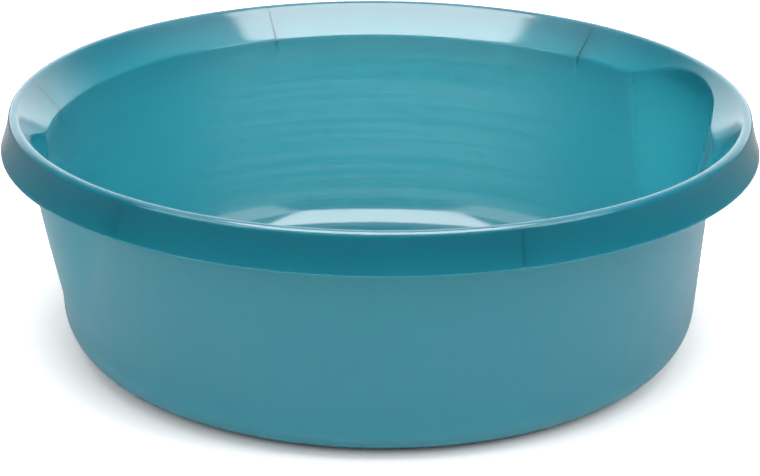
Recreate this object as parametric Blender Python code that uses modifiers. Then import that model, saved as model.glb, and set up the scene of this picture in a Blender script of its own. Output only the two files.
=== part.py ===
"""A round plastic washing bowl at full size, in metres, +Z up, standing on z = 0.

The real bowl is one injection moulding: a skin of nearly even thickness that runs from the floor, round
the cove and up the wall, over a sloping collar and a rolled lip, and down a flared skirt. Six ribs stand
in the channel under the rim. Two pockets, one at each end of the X axis, swell the wall outwards and cut
into the collar, so that fingers can close on the rim. Here the moulding is divided along those feature
lines, with a hairline seam between neighbours, so that each feature is an object of its own.

A place on a cross-section is (radius, height). The sections run down their outer side and up their inner
side, which turns their faces outwards.
"""

import math

import bmesh
import bpy

# Skin
SKIN = 0.0018
FLOOR_SKIN = 0.0020
SEAM = 0.0003

# Rim
HEIGHT = 0.126
LIP_RADIUS = 0.1858
LIP_HOLLOW_ROUND = 0.0012
SKIRT_DEPTH = 0.0198
SKIRT_TOP_LEAN = math.radians(9)
SKIRT_EDGE_LEAN = math.radians(20)
COLLAR_WIDTH = 0.0193
COLLAR_DROP = 0.0151

# Body
DRAFT = math.radians(4.84)
COVE_RADIUS = 0.027
FOOT_WIDTH = 0.008
FOOT_STEP_WIDTH = 0.0025
FLOOR_LIFT = 0.0015

# Grip pockets
GRIP_DEPTH = 0.0100
GRIP_WIDTH = 0.096
GRIP_FOOT_HEIGHT = 0.025
GRIP_TOP_DROP = 0.0060
GRIP_TAPER = 0.4
GRIP_EASE = 1.2
GRIP_BLEND = 0.0030

# Ribs under the rim
RIB_COUNT = 6
RIB_THICKNESS = 0.0012
RIB_RECESS = 0.0008
FIRST_RIB_ANGLE = math.radians(30)

# Steps round the bowl, and along the curves of its sections
TURN_STEPS = 96
GRIP_STEPS = 10
WALL_ROWS = 8
COVE_STEPS = 6
LIP_STEPS = 6
SKIRT_STEPS = 5
EDGE_STEPS = 3

# Finish
TEAL = (0.017, 0.195, 0.245, 1.0)
ROUGHNESS = 0.14
METALLIC = 0.0

# Levels and corners that the sections share
LIP_ROUND = LIP_HOLLOW_ROUND + SKIN
LIP_CENTRE = (LIP_RADIUS - LIP_ROUND, HEIGHT - LIP_ROUND)
COLLAR_CORNER = (LIP_RADIUS - COLLAR_WIDTH, HEIGHT - COLLAR_DROP)
COLLAR_RUN = LIP_CENTRE[0] - COLLAR_CORNER[0]
COLLAR_RISE = LIP_CENTRE[1] - COLLAR_CORNER[1]
COLLAR_REACH = math.hypot(COLLAR_RUN, COLLAR_RISE)
COLLAR_SLOPE = math.atan2(COLLAR_RISE, COLLAR_RUN) + math.asin(LIP_ROUND / COLLAR_REACH)
FLOOR_TOP = FLOOR_LIFT + FLOOR_SKIN


def along(start, end, share):
    """The number that lies this share of the way from start to end."""
    return start + (end - start) * share


def steps_between(start, end, count):
    """count + 1 numbers, evenly spaced from start to end."""
    return [along(start, end, step / count) for step in range(count + 1)]


def shifted(place, direction, distance):
    """The place this far along the direction."""
    return (place[0] + direction[0] * distance, place[1] + direction[1] * distance)


def wall_inner_radius(height):
    """The wall's inner face where no pocket swells it: a cone that passes through the collar's corner."""
    return COLLAR_CORNER[0] - (COLLAR_CORNER[1] - height) * math.tan(DRAFT)


def wall_skin():
    """The skin's thickness, measured level through the leaning wall."""
    return SKIN / math.cos(DRAFT)


def pocket_radius(angle, height):
    """The wall's inner face with the pockets.

    In plan a pocket is an arc through two ridges and a deepest point. From its foot upwards it widens,
    and it deepens as a quarter sine, eased at the foot. Its ridges are blended into the wall.
    """
    wall = wall_inner_radius(height)
    rise = (height - GRIP_FOOT_HEIGHT) / (HEIGHT - GRIP_TOP_DROP - GRIP_FOOT_HEIGHT)
    rise = min(rise, 1)
    from_grip = (angle + math.pi / 2) % math.pi - math.pi / 2
    if rise <= 0:
        return wall
    depth = GRIP_DEPTH * math.sin(rise * math.pi / 2) ** GRIP_EASE
    half_angle = math.asin(GRIP_WIDTH / 2 / COLLAR_CORNER[0]) * rise**GRIP_TAPER
    half_chord = wall * math.sin(half_angle)
    sagitta = wall * (1 - math.cos(half_angle)) + depth
    arc_radius = (half_chord**2 + sagitta**2) / (2 * sagitta)
    arc_centre = wall + depth - arc_radius
    reach = arc_radius**2 - (arc_centre * math.sin(from_grip)) ** 2
    if reach <= 0:
        return wall
    pocket = arc_centre * math.cos(from_grip) + math.sqrt(reach)
    blend = GRIP_BLEND * rise
    closeness = max(blend - abs(pocket - wall), 0) / blend
    return max(pocket, wall) + closeness**2 * blend / 4


def collar_edge(angle):
    """The inner edge of the collar's upper face: where that slope meets the wall or a pocket."""
    height = COLLAR_CORNER[1]
    for _ in range(12):
        radius = pocket_radius(angle, height)
        height = COLLAR_CORNER[1] + (radius - COLLAR_CORNER[0]) * math.tan(COLLAR_SLOPE)
    return (radius, height)


def mitre():
    """Direction and length, per unit of skin, from the collar's upper corner to the corner below it."""
    wall_normal = (-math.cos(DRAFT), math.sin(DRAFT))
    collar_normal = (-math.sin(COLLAR_SLOPE), math.cos(COLLAR_SLOPE))
    turn = 1 + wall_normal[0] * collar_normal[0] + wall_normal[1] * collar_normal[1]
    return (-(wall_normal[0] + collar_normal[0]) / turn, -(wall_normal[1] + collar_normal[1]) / turn)


def cove_centre():
    """Centre of the cove's arcs: the outer one touches z = 0 and the wall's outer face."""
    outer_face = wall_inner_radius(COVE_RADIUS) + wall_skin()
    return (outer_face - COVE_RADIUS / math.cos(DRAFT), COVE_RADIUS)


def arc(centre, radius, start, end, count):
    """Places on an arc from one angle to another."""
    turns = steps_between(start, end, count)
    return [shifted(centre, (math.cos(turn), math.sin(turn)), radius) for turn in turns]


def skirt_line(outwards):
    """Places this far outwards from the middle of the skirt's skin, from the lip down to the lower edge.

    The middle line leaves the lip's arc at the top lean, and leans out more and more towards the edge.
    """
    top_slope = math.tan(SKIRT_TOP_LEAN)
    leaving = (math.cos(SKIRT_TOP_LEAN), math.sin(SKIRT_TOP_LEAN))
    start = shifted(LIP_CENTRE, leaving, LIP_ROUND - SKIN / 2)
    drop = start[1] - (HEIGHT - SKIRT_DEPTH + SKIN / 2)
    places = []
    for share in steps_between(0, 1, SKIRT_STEPS):
        slope = along(top_slope, math.tan(SKIRT_EDGE_LEAN), share)
        middle = (start[0] + drop * share * (top_slope + slope) / 2, start[1] - drop * share)
        length = math.hypot(1, slope)
        places.append(shifted(middle, (1 / length, slope / length), outwards))
    return places


def moulded_teal(name):
    """A glossy teal plastic of the sub-part's own."""
    material = bpy.data.materials.new(name + "_plastic")
    material.use_nodes = True
    shader = material.node_tree.nodes["Principled BSDF"]
    shader.inputs["Base Color"].default_value = TEAL
    shader.inputs["Roughness"].default_value = ROUGHNESS
    shader.inputs["Metallic"].default_value = METALLIC
    material.diffuse_color = TEAL
    return material


def add_part(name, data, collection):
    """An object of this name and data, with its own material."""
    part = bpy.data.objects.new(name, data)
    part.data.materials.append(moulded_teal(name))
    collection.objects.link(part)
    return part


def turned(name, section, collection):
    """A ring: the closed section turned about Z."""
    mesh = bpy.data.meshes.new(name)
    count = len(section)
    edges = [(i, (i + 1) % count) for i in range(count)]
    mesh.from_pydata([(radius, 0, height) for radius, height in section], edges, [])
    part = add_part(name, mesh, collection)
    screw = part.modifiers.new("turn", "SCREW")
    screw.axis = "Z"
    screw.angle = math.tau
    screw.steps = TURN_STEPS
    screw.render_steps = TURN_STEPS
    screw.use_merge_vertices = True
    screw.merge_threshold = SEAM / 100
    screw.use_smooth_shade = True
    return part


def turn_angles(first, last):
    """The angles of these steps round the bowl, the last one included."""
    return [math.tau * step / TURN_STEPS for step in range(first, last + 1)]


def lofted(name, section_at, angles, whole_turn, collection):
    """A body whose closed section changes with the angle: a whole ring, or a stretch with closed ends."""
    shape = bmesh.new()
    rows = []
    for angle in angles:
        rows.append(
            [
                shape.verts.new((radius * math.cos(angle), radius * math.sin(angle), height))
                for radius, height in section_at(angle)
            ]
        )
    pairs = list(zip(rows, rows[1:]))
    if whole_turn:
        pairs.append((rows[-1], rows[0]))
    else:
        shape.faces.new(rows[0][::-1])
        shape.faces.new(rows[-1])
    for row, following in pairs:
        for i in range(len(row)):
            j = (i + 1) % len(row)
            shape.faces.new((row[i], row[j], following[j], following[i]))
    mesh = bpy.data.meshes.new(name)
    shape.to_mesh(mesh)
    shape.free()
    mesh.shade_smooth()
    mesh.set_sharp_from_angle(angle=math.radians(35))
    return add_part(name, mesh, collection)


def make_floor_panel(collection):
    """The flat middle of the floor, raised above the foot ring so that only the ring stands."""
    radius = cove_centre()[0] - FOOT_WIDTH - FOOT_STEP_WIDTH - SEAM
    middle = (FLOOR_LIFT + FLOOR_TOP) / 2
    bpy.ops.mesh.primitive_cylinder_add(
        vertices=TURN_STEPS, radius=radius, depth=FLOOR_SKIN, location=(0, 0, middle)
    )
    panel = bpy.context.active_object
    panel.name = "floor_panel"
    panel.data.name = "floor_panel"
    panel.data.materials.append(moulded_teal("floor_panel"))
    for holder in list(panel.users_collection):
        holder.objects.unlink(panel)
    collection.objects.link(panel)


def make_foot_ring(collection):
    """The flat ring that the bowl stands on, with the low step up to the floor panel."""
    outer = cove_centre()[0] - SEAM
    foot = cove_centre()[0] - FOOT_WIDTH
    inner = foot - FOOT_STEP_WIDTH
    section = [
        (outer, FLOOR_SKIN),
        (outer, 0),
        (foot, 0),
        (inner, FLOOR_LIFT),
        (inner, FLOOR_TOP),
        (foot, FLOOR_SKIN),
    ]
    turned("foot_ring", section, collection)


def make_base_cove(collection):
    """The large round between floor and wall, where the skin thins from the floor's to the wall's."""
    centre = cove_centre()
    section = arc(centre, COVE_RADIUS, -DRAFT, -math.pi / 2, COVE_STEPS)
    for share in steps_between(0, 1, COVE_STEPS):
        turn = along(-math.pi / 2, -DRAFT, share)
        radius = COVE_RADIUS - along(FLOOR_SKIN, SKIN, share)
        section.append(shifted(centre, (math.cos(turn), math.sin(turn)), radius))
    turned("base_cove", section, collection)


def wall_section(angle):
    """The tapered wall at this angle. Its top is mitred to meet the collar."""
    foot = cove_centre()[1] - COVE_RADIUS * math.sin(DRAFT) + SEAM
    inner_top = collar_edge(angle)
    outer_top = shifted(inner_top, mitre(), SKIN)
    outer = []
    for height in steps_between(outer_top[1], foot, WALL_ROWS):
        outer.append((pocket_radius(angle, height) + wall_skin(), height))
    outer[0] = outer_top
    inner = []
    for height in steps_between(foot + SKIN * math.sin(DRAFT), inner_top[1], WALL_ROWS):
        inner.append((pocket_radius(angle, height), height))
    return outer + inner


def make_wall_panels(collection):
    """The wall in four panels: the swollen ones of the two grips, and the plain ones between them."""
    quarter = TURN_STEPS // 4
    grip_reach = GRIP_STEPS // 2
    plain_reach = quarter - grip_reach
    seam_turn = SEAM / COLLAR_CORNER[0]
    panels = [
        ("grip_pocket_right", 0, grip_reach, seam_turn),
        ("wall_back", quarter, plain_reach, 0),
        ("grip_pocket_left", 2 * quarter, grip_reach, seam_turn),
        ("wall_front", 3 * quarter, plain_reach, 0),
    ]
    for name, middle, reach, inset in panels:
        angles = turn_angles(middle - reach, middle + reach)
        angles[0] += inset
        angles[-1] -= inset
        lofted(name, wall_section, angles, False, collection)


def make_rim_collar(collection):
    """The wide slope between wall and lip. The grips leave only a narrow strip of it."""
    uphill = (math.cos(COLLAR_SLOPE), math.sin(COLLAR_SLOPE))
    outwards = (-math.sin(COLLAR_SLOPE), math.cos(COLLAR_SLOPE))
    lip_side = shifted(shifted(LIP_CENTRE, outwards, LIP_ROUND), uphill, -SEAM)

    def section_at(angle):
        edge = shifted(collar_edge(angle), uphill, SEAM)
        return [lip_side, shifted(lip_side, outwards, -SKIN), shifted(edge, mitre(), SKIN), edge]

    lofted("rim_collar", section_at, turn_angles(0, TURN_STEPS - 1), True, collection)


def make_rim_lip(collection):
    """The rolled lip: an arc from the collar's slope over the top to the skirt."""
    start = COLLAR_SLOPE + math.pi / 2
    section = arc(LIP_CENTRE, LIP_ROUND, start, SKIRT_TOP_LEAN, LIP_STEPS)
    section += arc(LIP_CENTRE, LIP_HOLLOW_ROUND, SKIRT_TOP_LEAN, start, LIP_STEPS)
    turned("rim_lip", section, collection)


def make_rim_skirt(collection):
    """The turned-down skirt, leaning outwards and with a fully rounded edge."""
    outer = skirt_line(SKIN / 2)
    middle = skirt_line(0)
    inner = skirt_line(-SKIN / 2)
    outer[0] = (outer[0][0], outer[0][1] - SEAM)
    inner[0] = (inner[0][0], inner[0][1] - SEAM)
    lean = math.atan2(outer[-1][1] - middle[-1][1], outer[-1][0] - middle[-1][0])
    edge = arc(middle[-1], SKIN / 2, lean, lean - math.pi, EDGE_STEPS)
    turned("rim_skirt", outer + edge[1:-1] + inner[::-1], collection)


def make_rim_rib(number, collection):
    """A thin upright web that fills the channel under the rim, from the wall to the skirt."""
    clear = SKIN + SEAM
    bottom = HEIGHT - SKIRT_DEPTH + RIB_RECESS
    wall_face = wall_skin() + SEAM / math.cos(DRAFT)
    outline = [
        (wall_inner_radius(bottom) + wall_face, bottom),
        shifted(COLLAR_CORNER, mitre(), clear),
    ]
    lip_face = LIP_HOLLOW_ROUND - SEAM
    outline += arc(LIP_CENTRE, lip_face, COLLAR_SLOPE + math.pi / 2, SKIRT_TOP_LEAN, EDGE_STEPS)
    skirt_face = skirt_line(SKIN / 2 - clear)
    above = [place for place in skirt_face if place[1] > bottom]
    below = skirt_face[len(above)]
    share = (above[-1][1] - bottom) / (above[-1][1] - below[1])
    outline += above[1:]
    outline.append((along(above[-1][0], below[0], share), bottom))

    curve = bpy.data.curves.new(f"rim_rib_{number}", "CURVE")
    curve.dimensions = "2D"
    curve.fill_mode = "BOTH"
    curve.extrude = RIB_THICKNESS / 2
    spline = curve.splines.new("POLY")
    spline.points.add(len(outline) - 1)
    for point, (radius, height) in zip(spline.points, outline):
        point.co = (radius, height, 0, 1)
    spline.use_cyclic_u = True
    rib = add_part(f"rim_rib_{number}", curve, collection)
    turn = FIRST_RIB_ANGLE + math.tau * (number - 1) / RIB_COUNT
    rib.rotation_euler = (math.pi / 2, 0, turn)


def main():
    for thing in list(bpy.data.objects):
        bpy.data.objects.remove(thing)
    collection = bpy.data.collections.new("washing_bowl")
    bpy.context.scene.collection.children.link(collection)
    make_floor_panel(collection)
    make_foot_ring(collection)
    make_base_cove(collection)
    make_wall_panels(collection)
    make_rim_collar(collection)
    make_rim_lip(collection)
    make_rim_skirt(collection)
    for number in range(1, RIB_COUNT + 1):
        make_rim_rib(number, collection)


main()
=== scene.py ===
"""A round washing bowl of glossy teal plastic, standing on a white ground.

The bowl stands on z = 0 with its axis on Z and its grips on the X axis. All sizes are in metres.
"""

import math

import bpy
import numpy as np
from mathutils import Matrix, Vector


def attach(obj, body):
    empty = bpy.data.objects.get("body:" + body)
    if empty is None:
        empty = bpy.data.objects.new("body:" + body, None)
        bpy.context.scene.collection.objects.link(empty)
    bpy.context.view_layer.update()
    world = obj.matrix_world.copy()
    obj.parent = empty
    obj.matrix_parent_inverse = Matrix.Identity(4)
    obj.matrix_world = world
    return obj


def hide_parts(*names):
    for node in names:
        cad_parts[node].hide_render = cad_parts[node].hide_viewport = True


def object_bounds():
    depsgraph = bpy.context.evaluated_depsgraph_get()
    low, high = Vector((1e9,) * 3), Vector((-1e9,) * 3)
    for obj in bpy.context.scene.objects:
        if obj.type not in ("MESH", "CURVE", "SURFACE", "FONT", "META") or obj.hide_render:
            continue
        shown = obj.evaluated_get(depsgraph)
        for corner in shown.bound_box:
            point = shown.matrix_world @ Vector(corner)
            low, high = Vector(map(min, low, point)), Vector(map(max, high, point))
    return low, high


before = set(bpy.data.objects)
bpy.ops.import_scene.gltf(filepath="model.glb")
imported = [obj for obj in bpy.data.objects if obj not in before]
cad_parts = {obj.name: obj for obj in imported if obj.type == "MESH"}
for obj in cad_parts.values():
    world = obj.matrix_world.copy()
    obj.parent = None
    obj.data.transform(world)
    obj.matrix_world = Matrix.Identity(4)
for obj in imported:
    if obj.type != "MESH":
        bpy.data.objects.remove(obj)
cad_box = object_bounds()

# The bowl. One injection moulding of polypropylene, a skin of nearly even thickness that runs from the
# floor over the cove, the wall with its two grip pockets, the collar and the rolled lip to the skirt.
# It is moulded with its rim downwards and drawn off a core, so all its faces lean by the draft.

HEIGHT = 0.126
SKIN = 0.0018
FLOOR_SKIN = 0.0020

LIP_RADIUS = 0.1858
LIP_HOLLOW = 0.0012
LIP_ROUND = LIP_HOLLOW + SKIN
LIP_MIDDLE = (LIP_RADIUS - LIP_ROUND, HEIGHT - LIP_ROUND)

SKIRT_FOOT = 0.1062
SKIRT_TOP_LEAN = math.radians(9)
SKIRT_EDGE_LEAN = math.radians(20)

DRAFT = math.radians(4.84)
CORNER_RADIUS = 0.1665
CORNER_HEIGHT = 0.1109
CORNER_ROUND = 0.0030
COLLAR_REACH = math.hypot(LIP_MIDDLE[0] - CORNER_RADIUS, LIP_MIDDLE[1] - CORNER_HEIGHT)
COLLAR_SLOPE = math.asin(LIP_ROUND / COLLAR_REACH) + math.atan2(
    LIP_MIDDLE[1] - CORNER_HEIGHT, LIP_MIDDLE[0] - CORNER_RADIUS
)

GRIP_DEPTH = 0.0100
GRIP_WIDTH = 0.096
GRIP_FOOT = 0.025
GRIP_TOP = 0.120
GRIP_TAPER = 0.4
GRIP_EASE = 1.2
GRIP_BLEND = 0.0055

COVE_ROUND = 0.027
FOOT_WIDTH = 0.008
FOOT_STEP = 0.0025
FLOOR_LIFT = 0.0015
FLOOR_MIDDLE = 0.012

RIB_ANGLES = np.arange(30.0, 360.0, 60.0)
RIB_SINK = 0.00007
RIB_SINK_WIDTH = 0.0005
RIB_SINK_FOOT = 0.1065
RIB_SINK_HEAD = 0.1215
SKIRT_INSET = 0.0004
NOTCH_SINK = 0.0005
NOTCH_WIDTH = 0.0005
NOTCH_MIDDLE = 0.1058
NOTCH_HALF = 0.0028

EVEN_DEGREES = 1.2
GRIP_DEGREES = np.arange(7.2, 19.3, 0.4)
BESIDE_RIB_DEGREES = np.array([0.08, 0.18, 0.3, 0.5, 0.8])


def stations_round():
    """Angles round the bowl: even steps, closer beside the grips, closest where the ribs have sunk."""
    even = np.arange(0.0, 360.0, EVEN_DEGREES)
    grips = [GRIP_DEGREES, -GRIP_DEGREES, 180 + GRIP_DEGREES, 180 - GRIP_DEGREES]
    beside_ribs = np.concatenate([-BESIDE_RIB_DEGREES, BESIDE_RIB_DEGREES])
    ribs = (RIB_ANGLES[:, None] + beside_ribs).ravel()
    return np.radians(np.unique(np.round(np.concatenate([even, *grips, ribs]) % 360, 3)))


def wall_inside(angle, height):
    """Radius of the wall's inner face.

    The plain wall is a cone through the collar's corner. A pocket is, in plan, an arc through two ridges
    and a deepest point; from its foot it widens, and deepens as an eased quarter sine. The larger
    radius of the two counts, and the ridge between them is blended.
    """
    wall = CORNER_RADIUS - (CORNER_HEIGHT - height) * math.tan(DRAFT)
    rise = np.clip((height - GRIP_FOOT) / (GRIP_TOP - GRIP_FOOT), 1e-6, 1)
    from_grip = (angle + math.pi / 2) % math.pi - math.pi / 2
    depth = GRIP_DEPTH * np.sin(rise * math.pi / 2) ** GRIP_EASE
    half_angle = math.asin(GRIP_WIDTH / 2 / CORNER_RADIUS) * rise**GRIP_TAPER
    half_chord = wall * np.sin(half_angle)
    sagitta = wall * (1 - np.cos(half_angle)) + depth
    arc_radius = (half_chord**2 + sagitta**2) / (2 * sagitta)
    arc_middle = wall + depth - arc_radius
    reach = arc_radius**2 - (arc_middle * np.sin(from_grip)) ** 2
    pocket = arc_middle * np.cos(from_grip) + np.sqrt(np.maximum(reach, 0))
    pocket = np.where(reach > 0, pocket, 0)
    blend = GRIP_BLEND * rise
    closeness = np.clip(blend - np.abs(pocket - wall), 0, None) / blend
    return np.maximum(pocket, wall) + closeness**2 * blend / 4


def collar_corner(angle):
    """Radius and height at which the collar's slope meets the wall or a pocket, found by repetition."""
    height = np.full_like(angle, CORNER_HEIGHT)
    for _ in range(14):
        radius = wall_inside(angle, height)
        height = CORNER_HEIGHT + (radius - CORNER_RADIUS) * math.tan(COLLAR_SLOPE)
    return radius, height


def rounded(start, corner, end, count):
    """Rows along the curve that leaves start and reaches end, both heading for the corner."""
    rows = []
    for share in np.linspace(0, 1, count):
        rows.append(
            tuple(
                (1 - share) ** 2 * a + 2 * share * (1 - share) * b + share**2 * c
                for a, b, c in zip(start, corner, end)
            )
        )
    return rows


def arc_rows(middle, radius, start, end, count, like):
    """Rows on an arc about a middle, the same at every station. The radius may change along it."""
    turn = np.linspace(start, end, count)
    radii = np.broadcast_to(radius, (count,))
    return [
        (middle[0] + r * math.cos(t) + 0 * like, middle[1] + r * math.sin(t) + 0 * like)
        for r, t in zip(radii, turn)
    ]


def level_rows(places, like):
    """Rows through plain (radius, height) places, the same at every station."""
    return [(radius + 0 * like, height + 0 * like) for radius, height in places]


def s_step(start, end, count):
    """Places on a smooth step: the radius runs evenly, the height eases in and out."""
    share = np.linspace(0, 1, count)
    eased = share * share * (3 - 2 * share)
    return list(zip(start[0] + (end[0] - start[0]) * share, start[1] + (end[1] - start[1]) * eased))


def skirt_places(outwards, share):
    """Places this far outwards from the middle of the skirt's skin, by their share of its drop.

    The middle line leaves the lip's arc at the top lean, and its slope grows evenly towards the edge.
    """
    top_slope = math.tan(SKIRT_TOP_LEAN)
    slope = top_slope + (math.tan(SKIRT_EDGE_LEAN) - top_slope) * share
    start = (
        LIP_MIDDLE[0] + (LIP_ROUND - SKIN / 2) * math.cos(SKIRT_TOP_LEAN),
        LIP_MIDDLE[1] + (LIP_ROUND - SKIN / 2) * math.sin(SKIRT_TOP_LEAN),
    )
    drop = start[1] - SKIRT_FOOT - SKIN / 2
    length = np.hypot(1, slope)
    radius = start[0] + drop * share * (top_slope + slope) / 2 + outwards / length
    height = start[1] - drop * share + outwards * slope / length
    return radius, height


def bowl_rows(angle):
    """The closed section at every station: out over the floor and up the inside, down the outside and in.

    Each row is a radius and a height for every station.
    """
    plain = 0 * angle
    tan_draft, sin_draft, cos_draft = math.tan(DRAFT), math.sin(DRAFT), math.cos(DRAFT)
    wall_skin = SKIN / cos_draft
    uphill = (math.cos(COLLAR_SLOPE), math.sin(COLLAR_SLOPE))
    cove_face = CORNER_RADIUS - (CORNER_HEIGHT - COVE_ROUND) * tan_draft + wall_skin
    cove_middle = (cove_face - COVE_ROUND / cos_draft, COVE_ROUND)
    foot_inside = cove_middle[0] - FOOT_WIDTH
    floor_edge = foot_inside - FOOT_STEP
    floor_top = FLOOR_LIFT + FLOOR_SKIN

    rows = level_rows([(r, floor_top) for r in np.linspace(FLOOR_MIDDLE, floor_edge, 8)], plain)
    rows += level_rows(s_step((floor_edge, floor_top), (foot_inside, FLOOR_SKIN), 6)[1:], plain)
    thinning = COVE_ROUND - np.linspace(FLOOR_SKIN, SKIN, 19)
    rows += arc_rows(cove_middle, thinning, -math.pi / 2, -DRAFT, 19, plain)

    corner = collar_corner(angle)
    tangent = CORNER_ROUND * math.tan((math.pi / 2 - DRAFT - COLLAR_SLOPE) / 2)
    wall_foot = rows[-1][1]
    wall_head = corner[1] - tangent * cos_draft
    for share in np.linspace(0, 1, 45)[1:]:
        height = wall_foot + (wall_head - wall_foot) * share
        rows.append((wall_inside(angle, height), height))
    collar_foot = (corner[0] + tangent * uphill[0], corner[1] + tangent * uphill[1])
    rows += rounded(rows[-1], corner, collar_foot, 8)[1:]
    lip_start = COLLAR_SLOPE + math.pi / 2
    lip = arc_rows(LIP_MIDDLE, LIP_ROUND, lip_start, SKIRT_TOP_LEAN, 15, plain)
    for share in np.linspace(0, 1, 7)[1:-1]:
        rows.append(tuple(a + (b - a) * share for a, b in zip(collar_foot, lip[0])))
    rows += lip

    rows += level_rows(zip(*skirt_places(SKIN / 2, np.linspace(0, 1, 17)[1:])), plain)
    edge = skirt_places(0, np.ones(1))
    turn_back = SKIRT_EDGE_LEAN - math.pi
    rows += arc_rows((edge[0][0], edge[1][0]), SKIN / 2, SKIRT_EDGE_LEAN, turn_back, 10, plain)[1:-1]
    rows += level_rows(zip(*skirt_places(-SKIN / 2, np.linspace(1, 0, 10))), plain)
    rows += arc_rows(LIP_MIDDLE, LIP_HOLLOW, SKIRT_TOP_LEAN, lip_start, 8, plain)[1:]

    wall_normal = (-cos_draft, sin_draft)
    collar_normal = (-uphill[1], uphill[0])
    turn = 1 + wall_normal[0] * collar_normal[0] + wall_normal[1] * collar_normal[1]
    under = [c - SKIN * (w + n) / turn for c, w, n in zip(corner, wall_normal, collar_normal)]
    tangent = (CORNER_ROUND - SKIN) * math.tan((math.pi / 2 - DRAFT - COLLAR_SLOPE) / 2)
    under_collar = (under[0] + tangent * uphill[0], under[1] + tangent * uphill[1])
    for share in np.linspace(0, 1, 4)[1:-1]:
        rows.append(tuple(a + (b - a) * share for a, b in zip(rows[-1], under_collar)))
    outer_head = under[1] - tangent * cos_draft
    under_wall = (wall_inside(angle, outer_head) + wall_skin, outer_head)
    rows += rounded(under_collar, under, under_wall, 5)
    outer_foot = cove_middle[1] - COVE_ROUND * sin_draft
    for share in np.linspace(0, 1, 45)[1:-1]:
        height = outer_head + (outer_foot - outer_head) * share
        rows.append((wall_inside(angle, height) + wall_skin, height))
    rows += arc_rows(cove_middle, COVE_ROUND, -DRAFT, -math.pi / 2, 15, plain)
    rows += level_rows([(foot_inside, 0.0)], plain)
    rows += level_rows(s_step((foot_inside, 0.0), (floor_edge, FLOOR_LIFT), 6)[1:], plain)
    rows += level_rows([(r, FLOOR_LIFT) for r in np.linspace(floor_edge, FLOOR_MIDDLE, 7)[1:]], plain)
    return np.array(rows)


def sunk_at_ribs(radius, height, angle):
    """The collar and the skirt draw in a little over each rib, as a bell across the rib's line.

    Where the rib's foot runs out on the wall, a short notch is left on its inner face. The ribs stand
    60 degrees apart, half of that from the grips.
    """
    from_rib = np.degrees(angle) % 60 - 30
    across = np.radians(from_rib) * radius
    inner = np.arange(len(radius))[:, None] < np.argmax(height[:, 0])
    bell = RIB_SINK * np.exp(-((across / RIB_SINK_WIDTH) ** 2) / 2)
    notch = NOTCH_SINK * np.exp(-((across / NOTCH_WIDTH) ** 2) / 2)
    radius = radius + inner * notch * np.exp(-(((height - NOTCH_MIDDLE) / NOTCH_HALF) ** 4))
    over_rib = inner & (height > RIB_SINK_FOOT)
    on_skirt = ~inner & (radius > LIP_RADIUS - SKIRT_INSET) & (height < RIB_SINK_HEAD)
    lean = np.where(height > CORNER_HEIGHT, COLLAR_SLOPE + math.pi / 2, math.pi + DRAFT)
    radius = radius - bell * np.where(over_rib, np.cos(lean), 0) - bell * on_skirt
    height = height - bell * np.where(over_rib, np.sin(lean), 0)
    return radius, height


def turned_mesh(name, rows, angle):
    """A closed mesh: a grid of rows round the axis, with a fan to a pole at its first and last row."""
    radius, height = rows
    count, stations = radius.shape
    places = np.stack([radius * np.cos(angle), radius * np.sin(angle), height], axis=-1).reshape(-1, 3)
    poles = np.array([[0, 0, height[0, 0]], [0, 0, height[-1, 0]]])
    row, station = np.meshgrid(np.arange(count - 1), np.arange(stations), indexing="ij")
    beside = (station + 1) % stations
    quads = np.stack(
        [
            row * stations + station,
            (row + 1) * stations + station,
            (row + 1) * stations + beside,
            row * stations + beside,
        ],
        axis=-1,
    ).reshape(-1, 4)
    one = np.arange(stations)
    two = (one + 1) % stations
    last = (count - 1) * stations
    top_fan = np.stack([np.full(stations, count * stations), one, two], axis=-1)
    low_fan = np.stack([np.full(stations, count * stations + 1), last + two, last + one], axis=-1)
    mesh = bpy.data.meshes.new(name)
    mesh.from_pydata(
        np.concatenate([places, poles]).tolist(),
        [],
        quads.tolist() + top_fan.tolist() + low_fan.tolist(),
    )
    mesh.shade_smooth()
    return mesh


round_the_bowl = stations_round()
section = bowl_rows(round_the_bowl)
bowl_radius, bowl_height = sunk_at_ribs(section[:, 0], section[:, 1], round_the_bowl)
bowl_radius = np.minimum(bowl_radius, cad_box[1].x)
bowl = bpy.data.objects.new(
    "bowl_moulding", turned_mesh("bowl_moulding", (bowl_radius, bowl_height), round_the_bowl)
)
bpy.context.scene.collection.objects.link(bowl)

TEAL_DEEP = (0.006, 0.120, 0.170, 1)
TEAL_LIGHT = (0.007, 0.128, 0.180, 1)
FLOW_SCALE = 14
POLISH_SCALE = 60
UNREST_SCALE = 45
UNREST_DEPTH = 0.0002

GLOSS_ROUGHNESS = (0.09, 0.14)
SATIN_DULLNESS = 0.25
SATIN_COAT = 0.35
SATIN_COAT_ROUGHNESS = 0.36
SATIN_FACING = (0.4, 0.7)
SATIN_HEAD = (0.1045, 0.1058)

MARKS_STRETCH = (5, 5, 260)
MARKS_DULLNESS = 0.36
MARKS_SPREAD = 0.95
MARKS_FACING = (-0.88, -0.97)
MARKS_BESIDE_GRIP = (-0.012, 0.018)


def smooth_step(nodes, links, source, start, end, low, high):
    """A value that goes smoothly from low to high as the source goes from start to end."""
    step = nodes.new("ShaderNodeMapRange")
    step.interpolation_type = "SMOOTHSTEP"
    step.inputs["From Min"].default_value = start
    step.inputs["From Max"].default_value = end
    step.inputs["To Min"].default_value = low
    step.inputs["To Max"].default_value = high
    links.new(source, step.inputs["Value"])
    return step.outputs["Result"]


def combined(nodes, links, operation, one, two):
    """Two values, each a number or a socket, joined by one sum, product or the like."""
    node = nodes.new("ShaderNodeMath")
    node.operation = operation
    for socket, value in zip(node.inputs, (one, two)):
        if isinstance(value, float):
            socket.default_value = value
        else:
            links.new(value, socket)
    return node.outputs["Value"]


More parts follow.
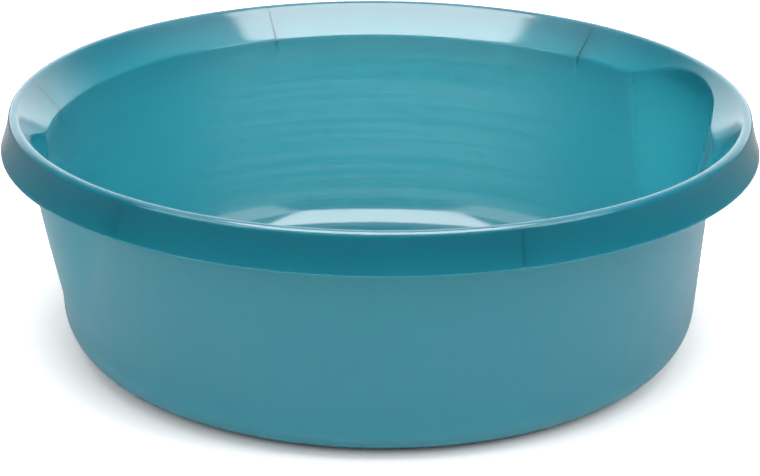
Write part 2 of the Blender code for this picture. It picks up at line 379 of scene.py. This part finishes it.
def clouds(nodes, links, coordinates, scale, detail):
    """One value that drifts over the coordinates in clouds, finer with a larger scale."""
    noise = nodes.new("ShaderNodeTexNoise")
    noise.inputs["Scale"].default_value = scale
    noise.inputs["Detail"].default_value = detail
    links.new(coordinates, noise.inputs["Vector"])
    return noise.outputs["Fac"]


def wall_and_body(nodes, links, place):
    """Two masks: the wall's inner face with its turning marks, and the body's outer face under the rim.

    Both follow from how far the face points away from the bowl's axis, and from its height. The marks
    end at the grips, whose width there is a power of the height above their foot.
    """
    flat = nodes.new("ShaderNodeVectorMath")
    flat.operation = "MULTIPLY"
    flat.inputs[1].default_value = (1, 1, 0)
    links.new(place.outputs["Object"], flat.inputs[0])
    radial = nodes.new("ShaderNodeVectorMath")
    radial.operation = "NORMALIZE"
    links.new(flat.outputs["Vector"], radial.inputs[0])
    outward = nodes.new("ShaderNodeVectorMath")
    outward.operation = "DOT_PRODUCT"
    links.new(radial.outputs["Vector"], outward.inputs[0])
    links.new(place.outputs["Normal"], outward.inputs[1])
    parts = nodes.new("ShaderNodeSeparateXYZ")
    links.new(place.outputs["Object"], parts.inputs["Vector"])

    stretched = nodes.new("ShaderNodeMapping")
    stretched.inputs["Scale"].default_value = MARKS_STRETCH
    links.new(place.outputs["Object"], stretched.inputs["Vector"])
    marks = clouds(nodes, links, stretched.outputs["Vector"], 1, 3)

    sideways = nodes.new("ShaderNodeSeparateXYZ")
    links.new(radial.outputs["Vector"], sideways.inputs["Vector"])
    from_grip = combined(nodes, links, "ABSOLUTE", sideways.outputs["Y"], 0.0)
    rise = combined(nodes, links, "SUBTRACT", parts.outputs["Z"], GRIP_FOOT)
    rise = combined(nodes, links, "DIVIDE", rise, GRIP_TOP - GRIP_FOOT)
    rise = combined(nodes, links, "MAXIMUM", rise, 0.0)
    widening = combined(nodes, links, "POWER", rise, GRIP_TAPER)
    grip_half = combined(nodes, links, "MULTIPLY", widening, GRIP_WIDTH / 2 / CORNER_RADIUS)
    beside = combined(nodes, links, "SUBTRACT", from_grip, grip_half)
    clear_of_grip = smooth_step(nodes, links, beside, *MARKS_BESIDE_GRIP, 0, 1)
    inside = smooth_step(nodes, links, outward.outputs["Value"], *MARKS_FACING, 0, 1)
    inside = combined(nodes, links, "MULTIPLY", inside, clear_of_grip)
    streaks = smooth_step(nodes, links, marks, 0.3, 0.7, 0.75, 1.0)
    under_rim = smooth_step(nodes, links, parts.outputs["Z"], *SATIN_HEAD, 1, 0)
    outside = smooth_step(nodes, links, outward.outputs["Value"], *SATIN_FACING, 0, 1)
    return (
        combined(nodes, links, "MULTIPLY", inside, streaks),
        combined(nodes, links, "MULTIPLY", outside, under_rim),
    )


def teal_plastic():
    """Self-coloured teal polypropylene with a high gloss.

    The colour drifts a little in slow clouds, as the melt flowed. The gloss varies in finer clouds, and
    a fine bump gives the surface the slight unrest of a moulding. The body is satin outside, and a thin
    coat there catches a little more light. Inside, the turning marks of the mould's core run round the
    wall and spread its reflections up and down.
    """
    material = bpy.data.materials.new("teal_plastic")
    material.use_nodes = True
    nodes, links = material.node_tree.nodes, material.node_tree.links
    shader = nodes["Principled BSDF"]
    place = nodes.new("ShaderNodeTexCoord")
    turned, satin = wall_and_body(nodes, links, place)

    tint = nodes.new("ShaderNodeValToRGB")
    tint.color_ramp.elements[0].position = 0.32
    tint.color_ramp.elements[0].color = TEAL_DEEP
    tint.color_ramp.elements[1].position = 0.68
    tint.color_ramp.elements[1].color = TEAL_LIGHT
    links.new(clouds(nodes, links, place.outputs["Object"], FLOW_SCALE, 3), tint.inputs["Fac"])
    links.new(tint.outputs["Color"], shader.inputs["Base Color"])

    gloss = nodes.new("ShaderNodeMapRange")
    gloss.inputs["From Min"].default_value = 0.3
    gloss.inputs["From Max"].default_value = 0.7
    gloss.inputs["To Min"].default_value = GLOSS_ROUGHNESS[0]
    gloss.inputs["To Max"].default_value = GLOSS_ROUGHNESS[1]
    links.new(clouds(nodes, links, place.outputs["Object"], POLISH_SCALE, 4), gloss.inputs["Value"])
    dull_body = combined(nodes, links, "MULTIPLY", satin, SATIN_DULLNESS)
    dull_wall = combined(nodes, links, "MULTIPLY", turned, MARKS_DULLNESS)
    roughness = combined(nodes, links, "ADD", gloss.outputs["Result"], dull_body)
    roughness = combined(nodes, links, "ADD", roughness, dull_wall)
    links.new(roughness, shader.inputs["Roughness"])
    links.new(combined(nodes, links, "MULTIPLY", turned, MARKS_SPREAD), shader.inputs["Anisotropic"])
    shader.inputs["Anisotropic Rotation"].default_value = 0.25
    along = nodes.new("ShaderNodeTangent")
    along.direction_type = "RADIAL"
    along.axis = "Z"
    links.new(along.outputs["Tangent"], shader.inputs["Tangent"])

    unrest = clouds(nodes, links, place.outputs["Object"], UNREST_SCALE, 2)
    bump = nodes.new("ShaderNodeBump")
    bump.inputs["Strength"].default_value = 0.5
    bump.inputs["Distance"].default_value = UNREST_DEPTH
    links.new(unrest, bump.inputs["Height"])
    links.new(bump.outputs["Normal"], shader.inputs["Normal"])

    links.new(combined(nodes, links, "MULTIPLY", satin, SATIN_COAT), shader.inputs["Coat Weight"])
    shader.inputs["Coat Roughness"].default_value = SATIN_COAT_ROUGHNESS
    shader.inputs["IOR"].default_value = 1.48
    shader.inputs["Subsurface Weight"].default_value = 1.0
    shader.inputs["Subsurface Radius"].default_value = (0.85, 1.0, 1.05)
    shader.inputs["Subsurface Scale"].default_value = 0.015
    return material


plastic = teal_plastic()
bowl.data.materials.append(plastic)
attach(bowl, "root")
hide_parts("floor_panel", "foot_ring", "base_cove", "wall_front", "wall_back")
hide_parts("grip_pocket_right", "grip_pocket_left", "rim_collar", "rim_lip", "rim_skirt")

# The ribs. Six thin upright webs of the same moulding stand in the channel under the rim, from the wall
# to the skirt, and stiffen it. They are thinner than the skin, so that it sinks only slightly over them.

RIB_HALF = 0.0006
RIB_FOOT = 0.1070
RIB_FOOT_ROUND = 0.0004
RIB_FOOT_SHARES = (0.4, 0.9)
RIB_LEVELS = (0.1090, 0.1105, 0.1130, 0.1160, 0.1190, 0.1215, 0.1228)
RIB_BITE = 0.0004


def rib_faces(angles):
    """One closed web for each angle. Its outline follows the channel and bites a little into the skin.

    The outline is a grid of two columns, wall side and skirt side, and two cheeks, shifted sideways by
    half the web's thickness. The foot's edges are narrowed, which rounds them.
    """
    heights = np.array([RIB_FOOT, RIB_FOOT + RIB_FOOT_ROUND, *RIB_LEVELS])
    half = np.full(len(heights), RIB_HALF)
    half[:2] *= RIB_FOOT_SHARES
    wall = CORNER_RADIUS - (CORNER_HEIGHT - heights) * math.tan(DRAFT) + SKIN / math.cos(DRAFT)
    slope_under = CORNER_RADIUS + (heights - CORNER_HEIGHT) / math.tan(COLLAR_SLOPE)
    slope_under = slope_under + SKIN / math.sin(COLLAR_SLOPE)
    inner = np.maximum(wall, slope_under) - RIB_BITE
    skirt_radius, skirt_height = skirt_places(-SKIN / 2, np.linspace(1, 0, 20))
    outer = np.interp(heights, skirt_height, skirt_radius) + RIB_BITE
    count = len(heights)
    columns = np.stack([inner, outer, outer, inner], axis=1)
    sideways = np.stack([-half, -half, half, half], axis=1)
    levels = np.repeat(heights[:, None], 4, axis=1)
    places, faces = [], []
    ring = np.arange(4)
    for number, angle in enumerate(angles):
        c, s = math.cos(angle), math.sin(angle)
        grid = np.stack([columns * c - sideways * s, columns * s + sideways * c, levels], axis=-1)
        places.append(grid.reshape(-1, 3))
        start = number * count * 4
        low = start + (np.arange(count - 1) * 4)[:, None] + ring
        side = np.stack([low, low - ring + (ring + 1) % 4], axis=-1)
        quads = np.concatenate([side, side[..., ::-1] + 4], axis=-1).reshape(-1, 4)
        faces += quads.tolist()
        faces.append((start + ring[::-1]).tolist())
        faces.append((start + (count - 1) * 4 + ring).tolist())
    return np.concatenate(places).tolist(), faces


rib_mesh = bpy.data.meshes.new("rim_ribs")
rib_places, rib_quads = rib_faces(np.radians(RIB_ANGLES))
rib_mesh.from_pydata(rib_places, [], rib_quads)
ribs = bpy.data.objects.new("rim_ribs", rib_mesh)
bpy.context.scene.collection.objects.link(ribs)
ribs.data.materials.append(plastic)
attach(ribs, "root")
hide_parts(*(f"rim_rib_{number}" for number in range(1, 7)))

# The ground. A wide sheet of smooth white card. For the camera it is lifted to white, so that only the
# soft shadow under the bowl shows on it.

GROUND_HALF = 3.0
GROUND_FRONT = 0.42
GROUND_LEVEL = -0.0001
STUDIO_TURN = Matrix.Rotation(math.radians(-20.2), 4, "Z")

CARD_WHITE = 0.88
CARD_LIFT = 0.55
CARD_MIRRORED_LOSS = (0.38, 0.75)
CARD_LOSS_DISTANCE = (0.25, 0.6)
SHARE_SEEN_IN_GLOSS = 0.3


def seen_rays(nodes, links):
    """1 for rays that show a surface to the eye, directly or through glass, a share in gloss, else 0."""
    rays = nodes.new("ShaderNodeLightPath").outputs
    direct = combined(nodes, links, "MAXIMUM", rays["Is Camera Ray"], rays["Is Transmission Ray"])
    in_gloss = combined(nodes, links, "MULTIPLY", rays["Is Glossy Ray"], SHARE_SEEN_IN_GLOSS)
    return combined(nodes, links, "ADD", direct, in_gloss)


def white_card():
    """Matt white card. To the eye it is brighter than the light on it, and duller in reflections.

    What it loses in reflections grows by a smooth step of the distance from the bowl.
    """
    material = bpy.data.materials.new("white_card")
    material.use_nodes = True
    nodes, links = material.node_tree.nodes, material.node_tree.links
    nodes.clear()
    output = nodes.new("ShaderNodeOutputMaterial")
    matt = nodes.new("ShaderNodeBsdfDiffuse")
    rays = nodes.new("ShaderNodeLightPath")
    lifted = combined(nodes, links, "MULTIPLY", seen_rays(nodes, links), CARD_LIFT)
    lifted = combined(nodes, links, "ADD", lifted, CARD_WHITE)
    place = nodes.new("ShaderNodeTexCoord")
    distance = nodes.new("ShaderNodeVectorMath")
    distance.operation = "LENGTH"
    links.new(place.outputs["Object"], distance.inputs[0])
    steps = (*CARD_LOSS_DISTANCE, *CARD_MIRRORED_LOSS)
    loss = smooth_step(nodes, links, distance.outputs["Value"], *steps)
    mirrored = combined(nodes, links, "MULTIPLY", rays.outputs["Is Glossy Ray"], loss)
    links.new(combined(nodes, links, "SUBTRACT", lifted, mirrored), matt.inputs["Color"])
    links.new(matt.outputs["BSDF"], output.inputs["Surface"])
    return material


ground_mesh = bpy.data.meshes.new("ground")
ground_mesh.from_pydata(
    [
        (-GROUND_HALF, -GROUND_FRONT, GROUND_LEVEL),
        (GROUND_HALF, -GROUND_FRONT, GROUND_LEVEL),
        (GROUND_HALF, GROUND_HALF, GROUND_LEVEL),
        (-GROUND_HALF, GROUND_HALF, GROUND_LEVEL),
    ],
    [],
    [(0, 1, 2, 3)],
)
ground_mesh.transform(STUDIO_TURN)
ground = bpy.data.objects.new("ground", ground_mesh)
ground_mesh.materials.append(white_card())
bpy.context.scene.collection.objects.link(ground)

# The light. A large soft box hangs over the bowl, and a smaller one stands on each side in front. The
# far side of the studio is a lit backdrop, and a band above its near side fills from the front.

SHINE_GAP = 0.01
SIDE_DISTANCE = 1.5
SIDE_ELEVATION = 35.5
SIDE_AIM_HEIGHT = 0.1


def soft_box(name, place, size, turn, tilt, radiance, shine):
    """A flat rectangular lamp, aimed by a turn about Z and a tilt from straight down.

    A second lamp just before it shows only in reflections, and makes the box brighter there.
    """
    aim = Matrix.Rotation(math.radians(turn), 4, "Z") @ Matrix.Rotation(math.radians(tilt), 4, "X")
    stand = STUDIO_TURN @ Matrix.Translation(place) @ aim
    for suffix, brightness, before in (("", radiance, 0), ("_shine", shine, SHINE_GAP)):
        lamp = bpy.data.lights.new(name + suffix, "AREA")
        lamp.shape = "RECTANGLE"
        lamp.size, lamp.size_y = size
        lamp.energy = brightness * math.pi * size[0] * size[1]
        box = bpy.data.objects.new(name + suffix, lamp)
        box.matrix_world = stand @ Matrix.Translation((0, 0, -before))
        box.visible_diffuse = not suffix
        bpy.context.scene.collection.objects.link(box)


def side_box(name, azimuth, size, radiance, shine):
    """A soft box beside the bowl at this azimuth, turned to face a point in the bowl's middle."""
    a, e = math.radians(azimuth), math.radians(SIDE_ELEVATION)
    place = (
        SIDE_DISTANCE * math.cos(e) * math.cos(a),
        SIDE_DISTANCE * math.cos(e) * math.sin(a),
        SIDE_AIM_HEIGHT + SIDE_DISTANCE * math.sin(e),
    )
    soft_box(name, place, size, azimuth + 90, 90 - SIDE_ELEVATION, radiance, shine)


soft_box("overhead_box", (0, -0.25, 1.215), (1.13, 0.844), turn=0, tilt=18.6, radiance=5.0, shine=6.0)
side_box("right_box", -30.5, (0.70, 0.80), radiance=2.8, shine=1.0)
side_box("left_box", -147, (0.92, 0.80), radiance=0.6, shine=2.4)


def studio_surroundings():
    """White to the eye. A bowl in it meets a lit backdrop behind, a fill from the front, and dim walls.

    The backdrop's light is a smooth step of how far a direction points to the back. The fill is a smooth
    step of how far it points to the front, times a band of elevations. In reflections the white of the
    horizon shows too, most at the back, and a ceiling that shows only there. The backdrop and the fill
    show there at a share of their strength, from a third in front to more than twice at the far back.
    """
    world = bpy.data.worlds.new("studio")
    world.use_nodes = True
    nodes, links = world.node_tree.nodes, world.node_tree.links
    background = nodes["Background"]
    place = nodes.new("ShaderNodeTexCoord")
    facing = nodes.new("ShaderNodeVectorMath")
    facing.operation = "DOT_PRODUCT"
    facing.inputs[1].default_value = STUDIO_TURN.to_3x3().col[1]
    links.new(place.outputs["Generated"], facing.inputs[0])
    parts = nodes.new("ShaderNodeSeparateXYZ")
    links.new(place.outputs["Generated"], parts.inputs["Vector"])
    to_back, upwards = facing.outputs["Value"], parts.outputs["Z"]

    def smooth(source, start, end, low, high):
        return smooth_step(nodes, links, source, start, end, low, high)

    def joined(operation, one, two):
        return combined(nodes, links, operation, one, two)

    rays = nodes.new("ShaderNodeLightPath")
    in_gloss = rays.outputs["Is Glossy Ray"]
    backdrop = smooth(to_back, 0.0, 0.5, 0.0, 0.85)
    fill = smooth(to_back, -0.5, -0.1, 1.7, 0.0)
    fill = joined("MULTIPLY", fill, smooth(upwards, 0.3, 0.4, 0.0, 1.0))
    fill = joined("MULTIPLY", fill, smooth(upwards, 0.7, 0.85, 1.0, 0.0))
    lit = joined("ADD", joined("ADD", backdrop, fill), 0.05)
    mirrored_loss = joined("MULTIPLY", in_gloss, smooth(to_back, 0.5, 0.85, 0.65, -1.4))
    lit = joined("MULTIPLY", lit, joined("SUBTRACT", 1.0, mirrored_loss))
    ceiling = joined("MULTIPLY", in_gloss, smooth(upwards, 0.6, 0.9, 0.0, 1.8))
    lit = joined("ADD", lit, ceiling)
    horizon_loss = joined("MULTIPLY", in_gloss, smooth(to_back, 0.5, 0.9, 0.6, 0.0))
    horizon = joined("MULTIPLY", seen_rays(nodes, links), joined("SUBTRACT", 1.0, horizon_loss))
    horizon = joined("MULTIPLY", horizon, smooth(upwards, 0.0, 0.12, 1.0, 0.0))
    white = joined("MAXIMUM", rays.outputs["Is Camera Ray"], horizon)
    links.new(joined("MAXIMUM", white, lit), background.inputs["Strength"])
    background.inputs["Color"].default_value = (1, 1, 1, 1)
    bpy.context.scene.world = world


studio_surroundings()
bpy.context.scene.view_settings.view_transform = "Standard"

# The camera. It stands back from the bowl and looks down on it at about 21 degrees. Its place, its aim
# and its focal length were fitted to the bowl's outlines in the photo, the last one in its pixels.

FRAME_WIDTH = 760
FOCAL_LENGTH = 2896.4
EYE_PLACE = (0, -1.3833, 0.5783)
EYE_TURN = -0.0002
EYE_DOWN = 0.36283
EYE_ROLL = 0.00794

eye = bpy.data.cameras.new("camera")
eye.sensor_width = 36
eye.lens = FOCAL_LENGTH / FRAME_WIDTH * eye.sensor_width
camera = bpy.data.objects.new("camera", eye)
camera.matrix_world = (
    STUDIO_TURN
    @ Matrix.Translation(EYE_PLACE)
    @ Matrix.Rotation(EYE_TURN, 4, "Z")
    @ Matrix.Rotation(math.pi / 2 - EYE_DOWN, 4, "X")
    @ Matrix.Rotation(EYE_ROLL, 4, "Z")
)
bpy.context.scene.collection.objects.link(camera)
bpy.context.scene.camera = camera
